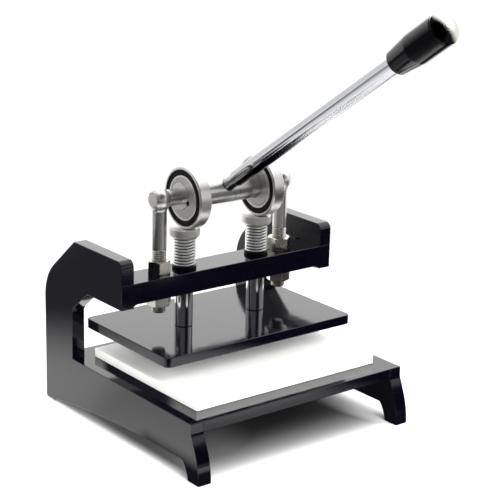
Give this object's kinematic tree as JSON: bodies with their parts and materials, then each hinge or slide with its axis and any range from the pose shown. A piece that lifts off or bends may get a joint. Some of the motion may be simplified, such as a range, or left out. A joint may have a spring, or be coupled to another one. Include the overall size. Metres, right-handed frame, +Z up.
{
  "type": "tabletop printing press",
  "caption": "Tabletop lever press: C-shaped side plates, base and crossbeam, eccentric shaft in ball bearings driving a sprung platen down onto a loose cutting board.",
  "frame": {"origin": "centre of the footprint box at rest, on the table surface", "axes": "+Z up, +X to the user's right along the shaft, the lever comes forward towards -Y where the user stands"},
  "size_m": [0.29, 0.4742, 0.4886],
  "materials": {
    "black_paint": "gloss black baked paint, almost mirror-like on the flat faces",
    "plated_steel": "bright zinc or nickel plate",
    "nickel_nut": "plated, slightly warm, satin",
    "turned_steel": "turned and ground steel",
    "dark_screw": "blackened",
    "spring_wire": "bright spring wire",
    "polished_chrome": "mirror-polished chrome plate",
    "black_bush": "blackened steel",
    "black_rubber": "moulded rubber",
    "black_grip": "glossy moulded plastic",
    "white_board": "matt white cutting-board plastic"
  },
  "bodies": {
    "frame": {"left_side_plate": "black_paint", "right_side_plate": "black_paint", "base_plate": "black_paint", "crossbeam": "black_paint", "eye_bolt_left": "plated_steel", "eye_bolt_right": "plated_steel", "upper_nut_left": "nickel_nut", "upper_nut_right": "nickel_nut", "lower_nut_left": "nickel_nut", "lower_nut_right": "nickel_nut", "guide_bush_left": "black_bush", "guide_bush_right": "black_bush", "return_spring_left": "spring_wire", "return_spring_right": "spring_wire"},
    "lever_shaft": {"main_shaft": "turned_steel", "eccentric_disc_left": "turned_steel", "eccentric_disc_right": "turned_steel", "bearing_inner_ring_left": "turned_steel", "bearing_inner_ring_right": "turned_steel", "key_screw_left": "dark_screw", "key_screw_right": "dark_screw", "lever_rod": "polished_chrome", "lever_grip": "black_grip", "grip_end_cap": "polished_chrome"},
    "bearing_left": {"bearing_outer_ring_left": "turned_steel", "bearing_seal_left_outer": "black_rubber", "bearing_seal_left_inner": "black_rubber"},
    "bearing_right": {"bearing_outer_ring_right": "turned_steel", "bearing_seal_right_outer": "black_rubber", "bearing_seal_right_inner": "black_rubber"},
    "cage_left": {"bearing_ball_cage_left": "turned_steel"},
    "cage_right": {"bearing_ball_cage_right": "turned_steel"},
    "platen": {"platen": "black_paint", "guide_post_left": "polished_chrome", "guide_post_right": "polished_chrome", "post_cap_left": "turned_steel", "post_cap_right": "turned_steel", "platen_screw_left": "dark_screw", "platen_screw_right": "dark_screw"},
    "board": {"cutting_board": "white_board"}
  },
  "joints": [
    {"name": "lever_swing", "type": "hinge", "parent": "frame", "child": "lever_shaft", "pos_m": [0, 0.0982, 0.257], "axis": [1, 0, 0], "range_deg": [-60, 55]},
    {"name": "platen_slide", "type": "slide", "parent": "frame", "child": "platen", "axis": [0, 0, 1], "range_m": [-0.00475, 0.00515], "deforming": ["return_spring_left", "return_spring_right"]},
    {"name": "bearing_spin_left", "type": "hinge", "parent": "lever_shaft", "child": "bearing_left", "pos_m": [-0.05, 0.0924, 0.2559], "axis": [1, 0, 0], "continuous": true},
    {"name": "bearing_spin_right", "type": "hinge", "parent": "lever_shaft", "child": "bearing_right", "pos_m": [0.05, 0.0924, 0.2559], "axis": [1, 0, 0], "continuous": true},
    {"name": "cage_spin_left", "type": "hinge", "parent": "lever_shaft", "child": "cage_left", "pos_m": [-0.05, 0.0924, 0.2559], "axis": [1, 0, 0], "continuous": true},
    {"name": "cage_spin_right", "type": "hinge", "parent": "lever_shaft", "child": "cage_right", "pos_m": [0.05, 0.0924, 0.2559], "axis": [1, 0, 0], "continuous": true},
    {"name": "board_out", "type": "slide", "parent": "frame", "child": "board", "axis": [0, -1, 0], "range_m": [0, 0.25]}
  ],
  "couplings": [
    {"joint": "platen_slide", "follows": "lever_swing", "m_per_rad": -0.0049},
    {"joint": "cage_spin_left", "follows": "bearing_spin_left", "ratio": 0.5578},
    {"joint": "cage_spin_right", "follows": "bearing_spin_right", "ratio": 0.5578}
  ]
}
